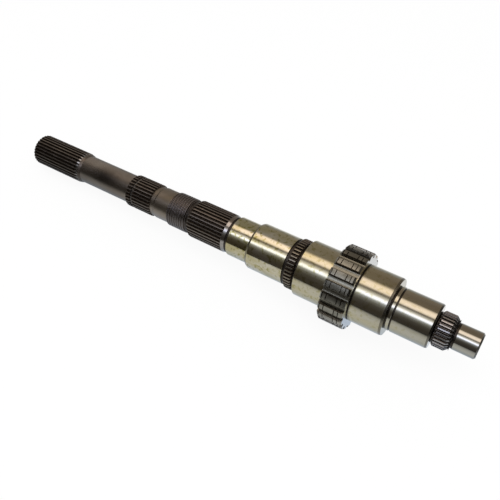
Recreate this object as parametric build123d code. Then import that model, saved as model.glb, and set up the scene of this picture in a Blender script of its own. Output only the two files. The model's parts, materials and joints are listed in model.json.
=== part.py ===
from build123d import *
import os
from math import atan2, cos, degrees, radians, sin, tan

# Main shaft of a truck gearbox: one steel forging, turned, splined, case-hardened and ground.
# It is drawn along the X axis with its nose at the origin and its tail towards -X, and then laid
# down as it rests on a bench, on two teeth of its hub and on the tail end of the output spline.
# Sizes are in millimetres. A station is a distance from the nose tip along the shaft.

# Nose pilot, which turns in a bearing inside the input shaft
pilot_length = 20.8
pilot_diameter = 25.1
pilot_chamfer = 1.5
pilot_relief_width = 2.1
pilot_relief_depth = 0.35

# Nose spline, for the third and fourth gear synchroniser hub, and the neck behind it. Its lead
# goes deeper than its teeth, down into the body.
nose_spline_length = 15.8
nose_spline_diameter = 33.9
nose_spline_teeth = 28
nose_spline_tooth_depth = 1.7
nose_spline_lead_length = 3.9
nose_spline_lead_depth = 3.6
nose_spline_back_chamfer = 1.6
nose_neck_length = 1.3
nose_neck_diameter = 28.8
nose_neck_flare = 0.8

# Third gear journal, its snap ring groove, and the land and relief at the shoulder. Both nose journals
# begin with a long low lead, for sliding a needle cage on.
third_journal_length = 35.3
third_journal_diameter = 43.2
third_lead_length = 1.8
third_lead_depth = 0.8
snap_groove_width = 1.5
snap_groove_depth = 1.1
third_land_length = 2.9
third_relief_width = 1.0
third_relief_depth = 0.9

# Second gear journal, between the shoulder and the hub
second_journal_length = 32.7
second_journal_diameter = 57.15
second_lead_length = 2.3
second_lead_depth = 0.6
hub_relief_width = 0.9
hub_relief_depth = 0.7

# First and second gear hub. Its teeth carry the shift sleeve, and two pairs of grooves cross them.
# They are led in at the nose end and chamfered at the tail end.
hub_length = 25.6
hub_diameter = 77.8
hub_teeth = 20
hub_tooth_depth = 3.6
hub_crest_share = 0.51
hub_floor_share = 0.36
hub_lead_length = 2.1
hub_lead_depth = 1.0
hub_chamfer = 1.2
hub_groove_width = 0.9
hub_groove_depth = 1.2
hub_groove_spacing = 4.15
hub_nose_groove_inset = 4.25
hub_tail_groove_inset = 1.55

# First gear journal. The relief behind it goes down to the core of the thrust ring's teeth.
first_journal_length = 32.8
first_journal_diameter = 57.15
first_journal_chamfer = 0.6
first_relief_width = 3.0

# Thrust ring, a narrow spline between the first gear and the bearing. The relief on its other side
# goes down to the same core.
thrust_ring_length = 8.4
thrust_ring_diameter = 52.0
thrust_ring_teeth = 43
thrust_ring_tooth_depth = 1.5
thrust_ring_chamfer = 0.8
bearing_relief_width = 3.2

# Bearing seat, with a lead for pressing the bearing on, and the smaller sleeve seat behind it
bearing_seat_length = 42.0
bearing_seat_diameter = 48.6
bearing_lead_length = 2.2
bearing_lead_depth = 1.2
sleeve_seat_length = 24.8
sleeve_seat_diameter = 41.8
sleeve_relief_width = 3.0
sleeve_relief_depth = 2.2

# Fifth gear spline. At its nose end the gaps run out into a tapered collar, and the relief at its
# tail end goes down to the core of its teeth.
fifth_collar_length = 3.6
fifth_collar_drop = 0.9
fifth_spline_length = 44.1
fifth_spline_diameter = 40.8
fifth_spline_teeth = 34
fifth_spline_tooth_depth = 1.55
fifth_spline_runout = 3.0
fifth_spline_back_length = 2.6
fifth_spline_back_drop = 1.5
fifth_relief_width = 3.2

# Thread for the lock nut, drawn at its outside diameter, and the spacer land behind it
thread_length = 24.5
thread_diameter = 37.7
thread_lead = 1.6
spacer_land_length = 18.5
spacer_land_diameter = 34.6
middle_neck_length = 4.8
middle_neck_slope_length = 1.4

# Middle spline, with a snap ring groove near its tail end
middle_spline_length = 33.4
middle_spline_diameter = 35.9
middle_spline_teeth = 30
middle_spline_tooth_depth = 1.45
middle_spline_chamfer = 0.8
middle_groove_width = 2.0
middle_groove_depth = 1.2
middle_groove_inset = 6.7

# Tail shank and the output spline, whose teeth rise from the shank on a long slope
shank_length = 68.9
shank_diameter = 31.6
output_spline_length = 72.9
output_spline_diameter = 34.925
output_spline_teeth = 29
output_spline_slope_length = 6.6
output_spline_chamfer = 1.0

# Tooth form of the fine splines: crest and floor as shares of the pitch
fine_crest_share = 0.36
fine_floor_share = 0.2

# Centre holes that the shaft is ground on, one in each end
centre_hole_diameter = 4.0
centre_hole_depth = 10.0
centre_cone_diameter = 9.0
centre_cone_angle = 60.0

# Height of a tooth left where it fades out, and how far the turned body stays below the floors there
faded_height = 0.1
joint_step = 0.1
core_step = 1.5


class Turning:
    """Half outline of the turned body, drawn stretch by stretch from the nose to the tail."""

    def __init__(self):
        self.station = 0.0
        self.points = [(0.0, 0.0)]
        self.places = {}

    def stretch(self, name, length, diameter, nose=(0.0, 0.0), tail=(0.0, 0.0)):
        """Add a stretch of one diameter, with a chamfer of a given length and drop at each end."""
        start = self.station
        end = start + length
        radius = diameter / 2
        self.draw(start, radius - nose[1])
        self.draw(start + nose[0], radius)
        self.draw(end - tail[0], radius)
        self.draw(end, radius - tail[1])
        self.places[name] = (start, end)
        self.station = end

    def draw(self, station, radius):
        """Carry the outline on to a new point, unless it is there already."""
        if self.points[-1] != (-station, radius):
            self.points.append((-station, radius))

    def solid(self):
        """Turn the outline about the shaft's axis."""
        outline = Polyline(*self.points, (-self.station, 0.0), close=True)
        return revolve(make_face(outline), Axis.X)


class ToothForm:
    """Section of a toothed zone. Its flanks are straight lines from the crest to the floor corners."""

    def __init__(self, diameter, depth, count, crest_share=fine_crest_share, floor_share=fine_floor_share):
        half_pitch = 180 / count
        crest_angle = radians(half_pitch * crest_share)
        floor_angle = radians(half_pitch * (1 - floor_share))
        floor_radius = diameter / 2 - depth
        self.count = count
        self.first_angle = 0.0
        self.crest = Vector(diameter / 2 * cos(crest_angle), diameter / 2 * sin(crest_angle))
        self.floor = Vector(floor_radius * cos(floor_angle), floor_radius * sin(floor_angle))
        self.height = self.crest.X - self.floor.X

    def corner(self, index, side, station, height):
        """A corner of a tooth at a height above the floor corners, on its left or its right flank."""
        point = self.floor + (self.crest - self.floor) * (height / self.height)
        turned = Vector(point.X, side * point.Y).rotate(Axis.Z, self.first_angle + 360 * index / self.count)
        return Vector(-station, turned.X, turned.Y)

    def crest_faces(self, index, line):
        """Top faces of a tooth, one for each step of its crest line."""
        for start, end in zip(line, line[1:]):
            yield flat_face(
                self.corner(index, -1, *start),
                self.corner(index, -1, *end),
                self.corner(index, 1, *end),
                self.corner(index, 1, *start),
            )

    def flank_face(self, index, side, crest_line, floor_line):
        """One whole flank of a tooth."""
        crest_corners = [self.corner(index, side, *point) for point in crest_line]
        floor_corners = [self.corner(index, side, *point) for point in reversed(floor_line)]
        return flat_face(*crest_corners, *floor_corners)

    def floor_faces(self, index, line):
        """Floor of the gap behind a tooth, one face for each step of the floor line."""
        for start, end in zip(line, line[1:]):
            yield flat_face(
                self.corner(index, 1, *start),
                self.corner(index, 1, *end),
                self.corner(index + 1, -1, *end),
                self.corner(index + 1, -1, *start),
            )

    def end_face(self, crest_point, floor_point):
        """End face of the zone, across all its teeth."""
        corners = []
        for index in range(self.count):
            corners.append(self.corner(index, -1, *floor_point))
            corners.append(self.corner(index, -1, *crest_point))
            corners.append(self.corner(index, 1, *crest_point))
            corners.append(self.corner(index, 1, *floor_point))
        return flat_face(*corners)

    def solid(self, crest_line, floor_line=None):
        """The toothed zone. A line gives (station, height) points from its nose end to its tail end."""
        floor_line = floor_line or [(crest_line[0][0], 0.0), (crest_line[-1][0], 0.0)]
        faces = [self.end_face(crest_line[0], floor_line[0]), self.end_face(crest_line[-1], floor_line[-1])]
        for index in range(self.count):
            faces += self.crest_faces(index, crest_line)
            faces += self.floor_faces(index, floor_line)
            faces.append(self.flank_face(index, -1, crest_line, floor_line))
            faces.append(self.flank_face(index, 1, crest_line, floor_line))
        return Solid(Shell(faces))

    def chamfered(self, span, nose, tail):
        """Crest line over a span, with a chamfer of a given length and drop at each end."""
        start, end = span
        line = [(start, self.height - nose[1]), (start + nose[0], self.height)]
        return line + [(end - tail[0], self.height), (end, self.height - tail[1])]

    def grooved(self, line, groove, middles):
        """A chamfered crest line crossed by grooves of a width and depth, in the order of their stations."""
        width, depth = groove
        notches = []
        for middle in middles:
            notches += [(middle - width / 2, self.height), (middle - width / 2, self.height - depth)]
            notches += [(middle + width / 2, self.height - depth), (middle + width / 2, self.height)]
        return line[:2] + notches + line[2:]


def flat_face(*corners):
    """A flat face with straight edges."""
    return Face(Wire.make_polygon(corners, close=True))


def core_diameter(diameter, tooth_depth):
    """Diameter of the turned body inside a toothed zone."""
    return diameter - 2 * (tooth_depth + core_step)


def turn_front(turning):
    """The body from the nose to the hub."""
    turning.stretch("pilot", pilot_length, pilot_diameter, nose=(pilot_chamfer, pilot_chamfer))
    turning.stretch("pilot_relief", pilot_relief_width, pilot_diameter - 2 * pilot_relief_depth)
    cone_diameter = nose_spline_diameter - 2 * (nose_spline_tooth_depth + joint_step)
    cone_drop = nose_spline_lead_depth - nose_spline_tooth_depth - joint_step
    cone_length = nose_spline_lead_length * cone_drop / nose_spline_lead_depth
    turning.stretch("nose_spline_lead", cone_length, cone_diameter, nose=(cone_length, cone_drop))
    core = core_diameter(nose_spline_diameter, nose_spline_tooth_depth)
    turning.stretch("nose_spline", nose_spline_length - cone_length, core)
    flare = (nose_neck_flare, -nose_neck_flare)
    turning.stretch("nose_neck", nose_neck_length, nose_neck_diameter, tail=flare)
    lead = (third_lead_length, third_lead_depth)
    turning.stretch("third_journal", third_journal_length, third_journal_diameter, nose=lead)
    turning.stretch("snap_groove", snap_groove_width, third_journal_diameter - 2 * snap_groove_depth)
    turning.stretch("third_land", third_land_length, third_journal_diameter)
    turning.stretch("third_relief", third_relief_width, third_journal_diameter - 2 * third_relief_depth)
    lead = (second_lead_length, second_lead_depth)
    turning.stretch("second_journal", second_journal_length, second_journal_diameter, nose=lead)
    turning.stretch("hub_relief", hub_relief_width, second_journal_diameter - 2 * hub_relief_depth)


def turn_middle(turning):
    """The body from the hub to the thread."""
    turning.stretch("hub", hub_length, first_journal_diameter)
    edge = (first_journal_chamfer, first_journal_chamfer)
    turning.stretch("first_journal", first_journal_length, first_journal_diameter, tail=edge)
    core = core_diameter(thrust_ring_diameter, thrust_ring_tooth_depth)
    turning.stretch("first_relief", first_relief_width, core)
    turning.stretch("thrust_ring", thrust_ring_length, core)
    turning.stretch("bearing_relief", bearing_relief_width, core)
    lead = (bearing_lead_length, bearing_lead_depth)
    turning.stretch("bearing_seat", bearing_seat_length, bearing_seat_diameter, tail=lead)
    turning.stretch("sleeve_seat", sleeve_seat_length, sleeve_seat_diameter)
    turning.stretch("sleeve_relief", sleeve_relief_width, sleeve_seat_diameter - 2 * sleeve_relief_depth)
    taper = (fifth_collar_length, fifth_collar_drop)
    collar_diameter = fifth_spline_diameter - 2 * (faded_height + joint_step)
    turning.stretch("fifth_collar", fifth_collar_length, collar_diameter, nose=taper)
    core = core_diameter(fifth_spline_diameter, fifth_spline_tooth_depth)
    turning.stretch("fifth_spline", fifth_spline_length, core)
    turning.stretch("fifth_relief", fifth_relief_width, core)


def turn_back(turning):
    """The body from the thread to the tail."""
    lead = (thread_lead, thread_lead)
    turning.stretch("thread", thread_length, thread_diameter, nose=lead, tail=lead)
    neck = middle_spline_diameter - 2 * (middle_spline_tooth_depth + joint_step)
    slope = (middle_neck_slope_length, (spacer_land_diameter - neck) / 2)
    turning.stretch("spacer_land", spacer_land_length, spacer_land_diameter, tail=slope)
    turning.stretch("middle_neck", middle_neck_length, neck)
    core = core_diameter(middle_spline_diameter, middle_spline_tooth_depth)
    turning.stretch("middle_spline", middle_spline_length, core)
    turning.stretch("shank", shank_length, shank_diameter)
    turning.stretch("output_spline", output_spline_length, shank_diameter - 2 * core_step)


def turned_body():
    """The whole turned outline."""
    turning = Turning()
    turn_front(turning)
    turn_middle(turning)
    turn_back(turning)
    return turning


def nose_spline(span):
    """The nose spline. Its lead goes on down the cone in front of it."""
    form = ToothForm(nose_spline_diameter, nose_spline_tooth_depth, nose_spline_teeth)
    drop = form.height - faded_height
    lead = (nose_spline_lead_length * drop / nose_spline_lead_depth, drop)
    back = (nose_spline_back_chamfer, nose_spline_back_chamfer)
    return form.solid(form.chamfered(span, lead, back))


def hub(span):
    """The hub. A gap between two of its teeth points straight down."""
    start, end = span
    form = ToothForm(hub_diameter, hub_tooth_depth, hub_teeth, hub_crest_share, hub_floor_share)
    form.first_angle = 180 / hub_teeth - 90
    half = hub_groove_width / 2
    nose_groove = start + hub_nose_groove_inset + half
    tail_groove = end - hub_tail_groove_inset - half
    middles = [nose_groove, nose_groove + hub_groove_spacing, tail_groove - hub_groove_spacing, tail_groove]
    line = form.chamfered(span, (hub_lead_length, hub_lead_depth), (hub_chamfer, hub_chamfer))
    return form.solid(form.grooved(line, (hub_groove_width, hub_groove_depth), middles))


def thrust_ring(span):
    """The thrust ring, with small chamfers at both ends."""
    form = ToothForm(thrust_ring_diameter, thrust_ring_tooth_depth, thrust_ring_teeth)
    edge = (thrust_ring_chamfer, thrust_ring_chamfer)
    return form.solid(form.chamfered(span, edge, edge))


def fifth_spline(span):
    """The fifth gear spline. Its gaps run out upwards at the collar."""
    start, end = span
    form = ToothForm(fifth_spline_diameter, fifth_spline_tooth_depth, fifth_spline_teeth)
    line = form.chamfered(span, (0.0, 0.0), (fifth_spline_back_length, fifth_spline_back_drop))[1:]
    floor_line = [(start, form.height - faded_height), (start + fifth_spline_runout, 0.0), (end, 0.0)]
    return form.solid(line, floor_line)


def middle_spline(span):
    """The middle spline, with the snap ring groove near its tail end."""
    form = ToothForm(middle_spline_diameter, middle_spline_tooth_depth, middle_spline_teeth)
    middles = [span[1] - middle_groove_inset - middle_groove_width / 2]
    edge = (middle_spline_chamfer, middle_spline_chamfer)
    line = form.chamfered(span, edge, edge)
    return form.solid(form.grooved(line, (middle_groove_width, middle_groove_depth), middles))


def output_spline(span):
    """The output spline. Its teeth rise slowly from the shank, and one points straight down."""
    depth = (output_spline_diameter - shank_diameter) / 2 - joint_step
    form = ToothForm(output_spline_diameter, depth, output_spline_teeth)
    form.first_angle = -90
    rise = (output_spline_slope_length, form.height - faded_height)
    edge = (output_spline_chamfer, output_spline_chamfer)
    return form.solid(form.chamfered(span, rise, edge))


def centre_hole(station, towards_tail):
    """A drilled centre with its cone, opening at one end face of the shaft."""
    wide = centre_cone_diameter / 2
    narrow = centre_hole_diameter / 2
    cone_depth = (wide - narrow) / tan(radians(centre_cone_angle / 2))
    corners = [(0.0, 0.0), (0.0, wide), (-cone_depth, narrow), (-centre_hole_depth, narrow)]
    outline = Polyline(*corners, (-centre_hole_depth, 0.0), close=True)
    hole = revolve(make_face(outline), Axis.X)
    if not towards_tail:
        hole = hole.rotate(Axis.Z, 180)
    return hole.moved(Location((-station, 0, 0)))


def lay_down(shaft, places):
    """Tilt the shaft about the hub until its tail touches the bench, and centre it over the origin."""
    hub_touch = hub_diameter / 2 * cos(radians(180 / hub_teeth * (1 - hub_crest_share)))
    tail_touch = output_spline_diameter / 2 * cos(radians(180 / output_spline_teeth * fine_crest_share))
    hub_station = places["hub"][1] - hub_chamfer
    tail_station = places["output_spline"][1] - output_spline_chamfer
    tilt = degrees(atan2(hub_touch - tail_touch, tail_station - hub_station))
    tilted = shaft.rotate(Axis.Y, -tilt)
    box = tilted.bounding_box()
    shift = Vector(-(box.min.X + box.max.X) / 2, 0, -box.min.Z)
    print(f"tilt {tilt:.12f} degrees, shift {shift.X:.12f} {shift.Z:.12f}")
    return tilted.moved(Location(shift))


def main_shaft():
    """The whole shaft: turned body, toothed zones and centre holes, laid down on the bench."""
    turning = turned_body()
    places = turning.places
    shaft = turning.solid() + [
        nose_spline(places["nose_spline"]),
        hub(places["hub"]),
        thrust_ring(places["thrust_ring"]),
        fifth_spline(places["fifth_spline"]),
        middle_spline(places["middle_spline"]),
        output_spline(places["output_spline"]),
    ]
    shaft = shaft - [centre_hole(0.0, True), centre_hole(turning.station, False)]
    return lay_down(shaft, places)


os.makedirs("parts", exist_ok=True)
export_step(main_shaft(), "parts/main_shaft.step")
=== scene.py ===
# %% [markdown]
# # Transmission main shaft
# A main shaft carries the gears of a truck gearbox on ground journals, and hands their torque on through
# splines. It is one steel forging. The solid part already has its true sizes; this script gives it the fine
# forms and the finishes that show from close by: rounded tooth edges, the nut thread, grinding lines, oil and
# heat-treatment scale. Lengths are written in millimetres and become metres where a mesh is made.

# %% Load the solid part
import json
from math import pi, radians, sqrt, tan

import bpy
from mathutils import Matrix, Quaternion, Vector


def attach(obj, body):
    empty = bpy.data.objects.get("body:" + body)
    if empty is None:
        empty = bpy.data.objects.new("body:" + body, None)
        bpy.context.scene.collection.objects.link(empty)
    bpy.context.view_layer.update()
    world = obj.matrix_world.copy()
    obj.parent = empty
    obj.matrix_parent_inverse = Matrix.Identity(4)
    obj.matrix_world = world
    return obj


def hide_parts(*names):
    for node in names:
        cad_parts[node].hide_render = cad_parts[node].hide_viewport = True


MM = 0.001
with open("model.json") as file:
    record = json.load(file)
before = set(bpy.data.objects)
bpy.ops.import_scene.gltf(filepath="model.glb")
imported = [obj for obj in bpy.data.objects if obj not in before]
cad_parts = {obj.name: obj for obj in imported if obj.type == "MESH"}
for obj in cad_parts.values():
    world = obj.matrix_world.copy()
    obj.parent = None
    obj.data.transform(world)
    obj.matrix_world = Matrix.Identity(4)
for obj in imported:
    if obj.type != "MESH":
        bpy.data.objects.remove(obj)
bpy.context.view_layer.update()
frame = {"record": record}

# %% [markdown]
# ## Where the shaft lies
# On a bench a bare shaft rolls until two hub teeth and the tail touch down, so its axis is a few degrees
# off level. All pieces are drawn along the X axis with the nose at the origin and the tail towards -X,
# because that keeps every station a plain number. One matrix then lays them down where the solid lies. The
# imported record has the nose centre's place and direction, so the matrix can't drift from the solid.

# %% Matrix that lays the drawing down on the solid
mounts = {mount["name"]: mount for mount in frame["record"]["mounts"]}
nose_tip = Vector(mounts["nose_centre"]["pos_m"])
to_nose = Vector(mounts["nose_centre"]["axis"]).normalized()
across = Vector((0, 1, 0))
lay_down = Matrix((to_nose, across, to_nose.cross(across))).transposed().to_4x4()
lay_down.translation = nose_tip
print(f"nose tip at {nose_tip}, tilt {to_nose.angle(Vector((1, 0, 0))):.5f} rad")

# %% [markdown]
# ## Sizes
# A turned shaft is a row of stretches, so its drawing is a list of lengths and a list of radii. A stretch's
# place is then the sum of the lengths before it, just as on a lathe's stop bar. A toothed stretch also has a
# number of teeth and their depth. The values are those of the solid part.

# %% Lengths, radii and places of the stretches
LENGTHS = {
    "pilot": 20.8, "pilot relief": 2.1, "nose spline": 15.8, "nose neck": 1.3, "third journal": 35.3,
    "snap groove": 1.5, "third land": 2.9, "third relief": 1.0, "second journal": 32.7, "hub relief": 0.9,
    "hub": 25.6, "first journal": 32.8, "first relief": 3.0, "thrust ring": 8.4, "bearing relief": 3.2,
    "bearing seat": 42.0, "sleeve seat": 24.8, "sleeve relief": 3.0, "fifth collar": 3.6,
    "fifth spline": 44.1, "fifth relief": 3.2, "thread": 24.5, "spacer land": 18.5, "middle neck": 4.8,
    "middle spline": 33.4, "shank": 68.9, "output spline": 72.9,
}
RADII = {
    "pilot": 12.55, "nose spline": 16.95, "nose neck": 14.4, "third journal": 21.6, "second journal": 28.575,
    "hub": 38.9, "first journal": 28.575, "thrust ring": 26.0, "bearing seat": 24.3, "sleeve seat": 20.9,
    "fifth spline": 20.4, "thread": 18.85, "spacer land": 17.3, "middle spline": 17.95, "shank": 15.8,
    "output spline": 17.4625,
}
TEETH = {
    "nose spline": 28, "hub": 20, "thrust ring": 43, "fifth spline": 34, "middle spline": 30,
    "output spline": 29,
}
TOOTH_DEPTHS = {
    "nose spline": 1.7, "hub": 3.6, "thrust ring": 1.5, "fifth spline": 1.55, "middle spline": 1.45,
    "output spline": RADII["output spline"] - RADII["shank"],
}
FLOORS = {name: RADII[name] - depth for name, depth in TOOTH_DEPTHS.items()}

starts, ends, station = {}, {}, 0.0
for stretch_name, stretch_length in LENGTHS.items():
    starts[stretch_name] = station
    station += stretch_length
    ends[stretch_name] = station
print(f"{len(LENGTHS)} stretches, {station:.1f} mm in all")


# %% [markdown]
# ## Small helpers for node trees
# Every tree and every finish below is wired in code. A few short helpers keep the wiring readable: one adds a
# node and fills its sockets, and the others add the math that comes up again and again. A value that is a
# socket gets a link, and any other value becomes the socket's own value.

# %% Helpers that add nodes
def fill(tree, socket, value):
    """Link a socket to another socket, or set its value."""
    if isinstance(value, bpy.types.NodeSocket):
        tree.links.new(value, socket)
    else:
        socket.default_value = value


def add(tree, kind, inputs=None, **settings):
    """Add a node, with its settings and its inputs given by name or by number."""
    node = tree.nodes.new(kind)
    for name, value in settings.items():
        setattr(node, name, value)
    for key, value in (inputs or {}).items():
        fill(tree, node.inputs[key], value)
    return node


def math(tree, operation, a, b=0.0, clamp=False):
    """A math node's result."""
    return add(tree, "ShaderNodeMath", {0: a, 1: b}, operation=operation, use_clamp=clamp).outputs[0]


def plus(tree, a, b):
    """The sum of two values."""
    return math(tree, "ADD", a, b)


def minus(tree, a, b):
    """One value less another."""
    return math(tree, "SUBTRACT", a, b)


def times(tree, a, b):
    """The product of two values."""
    return math(tree, "MULTIPLY", a, b)


def over(tree, a, b, clamp=False):
    """One value divided by another, held between 0 and 1 if it is clamped."""
    return math(tree, "DIVIDE", a, b, clamp)


def scaled(tree, vector, factors):
    """A vector with each part multiplied by its own factor."""
    return add(tree, "ShaderNodeVectorMath", {0: vector, 1: factors}, operation="MULTIPLY").outputs[0]


def spread(tree, value, low, high):
    """A value stretched so that low becomes 0 and high becomes 1, and held there."""
    node = add(tree, "ShaderNodeMapRange", {"Value": value, "From Min": low, "From Max": high})
    return node.outputs["Result"]


def between(tree, amount, low, high):
    """A value from low to high, by an amount from 0 to 1."""
    node = add(tree, "ShaderNodeMapRange", {"Value": amount, "To Min": low, "To Max": high})
    return node.outputs["Result"]


def noise(tree, place, scale, detail=2.0, roughness=0.5, distortion=0.0):
    """A noise from 0 to 1 at a place."""
    values = {"Scale": scale, "Detail": detail, "Roughness": roughness, "Distortion": distortion}
    return add(tree, "ShaderNodeTexNoise", {"Vector": place, **values}).outputs["Fac"]


def parts_of(tree, vector):
    """The outputs X, Y and Z of a vector."""
    return add(tree, "ShaderNodeSeparateXYZ", {"Vector": vector}).outputs


def object_place(tree):
    """Object coordinates."""
    return add(tree, "ShaderNodeTexCoord").outputs["Object"]


# %% [markdown]
# ## Node groups for finishes
# The shaft has two families of surface: ground steel, which shows fine rings from the grinding wheel and a
# thin uneven film of oil, and unground steel, which keeps a dark scale from heat treatment. Both need their
# patterns in the shaft's own direction, so each group turns Object coordinates by the tilt first. A group
# gives out only values, colours and normals; the shader itself stays in each material.

# %% Coordinates along the shaft, and an empty group
def shaft_coordinates(tree):
    """Object coordinates turned so that X runs along the shaft's axis from the nose tip."""
    mapping = add(tree, "ShaderNodeMapping", {"Vector": object_place(tree)}, vector_type="TEXTURE")
    mapping.inputs["Location"].default_value = nose_tip
    mapping.inputs["Rotation"].default_value = lay_down.to_euler()
    return mapping.outputs["Vector"]


def new_group(name, inputs):
    """An empty shader group with named values as inputs, given with their defaults."""
    tree = bpy.data.node_groups.new(name, "ShaderNodeTree")
    for title, value in inputs.items():
        tree.interface.new_socket(title, in_out="INPUT", socket_type="NodeSocketFloat").default_value = value
    return tree, tree.nodes.new("NodeGroupInput").outputs


def give(tree, results):
    """Give a group's results out under their names."""
    out = tree.nodes.new("NodeGroupOutput")
    for title, value in results.items():
        tree.interface.new_socket(title, in_out="OUTPUT", socket_type="NodeSocketFloat")
        tree.links.new(value, out.inputs[title])
    return tree


# %% [markdown]
# ### Grinding rings
# A grinding wheel leaves hair-fine rings round a journal. A noise that is stretched round the axis and
# squeezed along it gives such rings; a little of the angle is left in, so that they start and stop as real
# ones do.

# %% Grinding rings
RING_STRETCH = (1.0, 0.012, 0.012)
BAND_STRETCH = (1.0, 0.05, 0.05)
BANDS_PER_METRE = 160.0


def grinding_rings():
    """Group: the height of fine rings round the shaft, and a slow band pattern for the roughness."""
    tree, inside = new_group("Grinding rings", {"Rings per metre": 2600.0})
    place = shaft_coordinates(tree)
    rings = noise(tree, scaled(tree, place, RING_STRETCH), inside["Rings per metre"], 3.0, 0.6)
    bands = noise(tree, scaled(tree, place, BAND_STRETCH), BANDS_PER_METRE)
    return give(tree, {"Height": rings, "Bands": bands})


RINGS = grinding_rings()
print("made group", RINGS.name)

# %% [markdown]
# ### Mottled scale
# Heat treatment leaves a scale that differs from patch to patch, with fine grit in it. One coarse and one
# fine noise give a mask for the patches and a height for the grit.

# %% Mottled scale
PATCH_LIMITS = (0.32, 0.68)


def mottled_scale():
    """Group: patches of scale, and the height of its fine grit."""
    tree, inside = new_group("Mottled scale", {"Patch size": 0.02, "Grit size": 0.0006})
    place = shaft_coordinates(tree)
    patches = noise(tree, place, over(tree, 1.0, inside["Patch size"]), 4.0, 0.6, 0.4)
    grit = noise(tree, place, over(tree, 1.0, inside["Grit size"]))
    return give(tree, {"Patches": spread(tree, patches, *PATCH_LIMITS), "Grit": grit})


SCALE = mottled_scale()
print("made group", SCALE.name)

# %% [markdown]
# ### Oil film
# New parts are stored in a yellow oil. It dries in long thin patches with a few specks, thickest on the
# journals near the middle of the shaft, and hardly any is left at the nose. The group gives how far towards
# the tail a point is, a mask for the film and a mask for the specks.

# %% Oil film
FILM_STRETCH = (0.4, 1.0, 1.0)
FILM_PATCHES_PER_METRE = 90.0
FILM_LIMITS = (0.4, 0.62)
SPECKS_PER_METRE = 300.0
SPECK_LIMITS = (0.54, 0.66)


def oil_film():
    """Group: the way to the tail from 0 to 1 over the ground part, the oil's film and its specks."""
    tree, inside = new_group("Oil film", {"Ground length": ends["sleeve seat"] * MM})
    place = shaft_coordinates(tree)
    along = times(tree, parts_of(tree, place)["X"], -1.0)
    way = over(tree, along, inside["Ground length"], clamp=True)
    patches = noise(tree, scaled(tree, place, FILM_STRETCH), FILM_PATCHES_PER_METRE, 3.0, distortion=0.6)
    dots = noise(tree, place, SPECKS_PER_METRE)
    film, specks = spread(tree, patches, *FILM_LIMITS), spread(tree, dots, *SPECK_LIMITS)
    return give(tree, {"Way": way, "Film": times(tree, film, way), "Specks": times(tree, specks, way)})


OIL = oil_film()
print("made group", OIL.name)


# %% [markdown]
# ## Materials
# All of the shaft is one steel, so every material is a metal, and they differ in how dark the scale is, how
# rough the surface is, and how much oil lies on it. The meshes carry attributes: "ground" is 1 where a wheel
# has ground the surface, "height" runs from 0 on a gap's floor to 1 on a tooth's crest, "rim" is 1 along the
# edges of a crest, one more mark gives the rows whose grooves get a painted shade, and "polish" marks rows
# that are brighter than their neighbours.

# %% Helpers for materials
def new_material(name):
    """A material with its tree and its Principled shader."""
    material = bpy.data.materials.new(name)
    material.use_nodes = True
    return material, material.node_tree, material.node_tree.nodes["Principled BSDF"]


def attribute(tree, name):
    """The value of a mesh attribute."""
    return add(tree, "ShaderNodeAttribute", attribute_name=name).outputs["Fac"]


def blend(tree, amount, a, b, data_type="RGBA"):
    """One colour mixed into another."""
    node = add(tree, "ShaderNodeMix", {"Factor": amount}, data_type=data_type)
    fill(tree, node.inputs["A"], a)
    fill(tree, node.inputs["B"], b)
    return node.outputs["Result"]


def mix_value(tree, amount, a, b):
    """One value mixed into another."""
    return blend(tree, amount, a, b, "FLOAT")


def group(tree, node_tree, **inputs):
    """A group node with its inputs set. An underscore in an input's name stands for a space."""
    node = add(tree, "ShaderNodeGroup", node_tree=node_tree)
    for name, value in inputs.items():
        fill(tree, node.inputs[name.replace("_", " ")], value)
    return node


def bump(tree, shader, height, distance, strength):
    """Let a height drive the shader's normal."""
    node = add(tree, "ShaderNodeBump", {"Height": height, "Distance": distance, "Strength": strength})
    tree.links.new(node.outputs["Normal"], shader.inputs["Normal"])


# %% [markdown]
# ### Ground steel
# The journals and seats are ground to size, so they mirror the studio in long bands. They are a cool grey at
# the nose, grow yellower up to the hub's other side, and the two seats are cleaner and lighter again. So the
# colour follows the oil group's way to the tail. Reliefs and grooves are only turned and keep a dark scale,
# and their near-black colour is also painted shade in these narrow recesses.

# %% Ground steel
NOSE_GREY = (0.315, 0.31, 0.275, 1.0)
JOURNAL_STRAW = (0.4, 0.373, 0.28, 1.0)
SEAT_STRAW = (0.46, 0.435, 0.35, 1.0)
OIL_STRAW = (0.34, 0.3, 0.15, 1.0)
OIL_SPECK = (0.2, 0.18, 0.04, 1.0)
# Dark scale of turned steel, with painted shade in the narrow reliefs and grooves.
TURNED_SCALE_AND_SHADE = (0.045, 0.038, 0.032, 1.0)
OIL_THICKNESS = 0.85
GROUND_ROUGHNESS = (0.07, 0.13)
RING_DEPTH = 0.00001
TURNED_ROUGHNESS = 0.4
FIRST_JOURNAL_WAY = ends["first journal"] / ends["sleeve seat"]
SEAT_WAY = starts["bearing seat"] / ends["sleeve seat"]


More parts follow.
